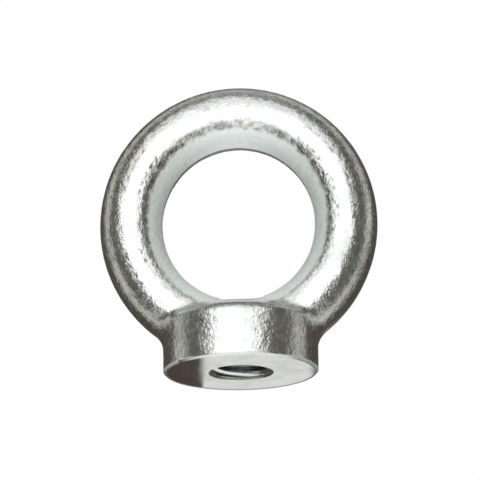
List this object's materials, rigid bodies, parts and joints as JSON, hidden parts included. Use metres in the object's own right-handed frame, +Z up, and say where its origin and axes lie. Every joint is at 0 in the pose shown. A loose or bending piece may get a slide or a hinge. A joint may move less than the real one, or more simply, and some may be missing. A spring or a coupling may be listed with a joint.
{
  "type": "lifting eye nut",
  "caption": "Forged lifting eye nut: a round eye standing on a flat-based collar with a metric tapped hole from below, zinc plated.",
  "frame": {"origin": "middle of the flat base, in the mouth of the tapped hole", "axes": "+Z up the thread towards the crown of the eye, X across the eye, Y through the eye"},
  "size_m": [0.054, 0.03, 0.057],
  "materials": {
    "zinc_plated_steel": "bright zinc plating over a shot-blasted drop forging, with the base face turned smooth"
  },
  "bodies": {
    "root": {"eye_nut": "zinc_plated_steel"}
  },
  "joints": []
}
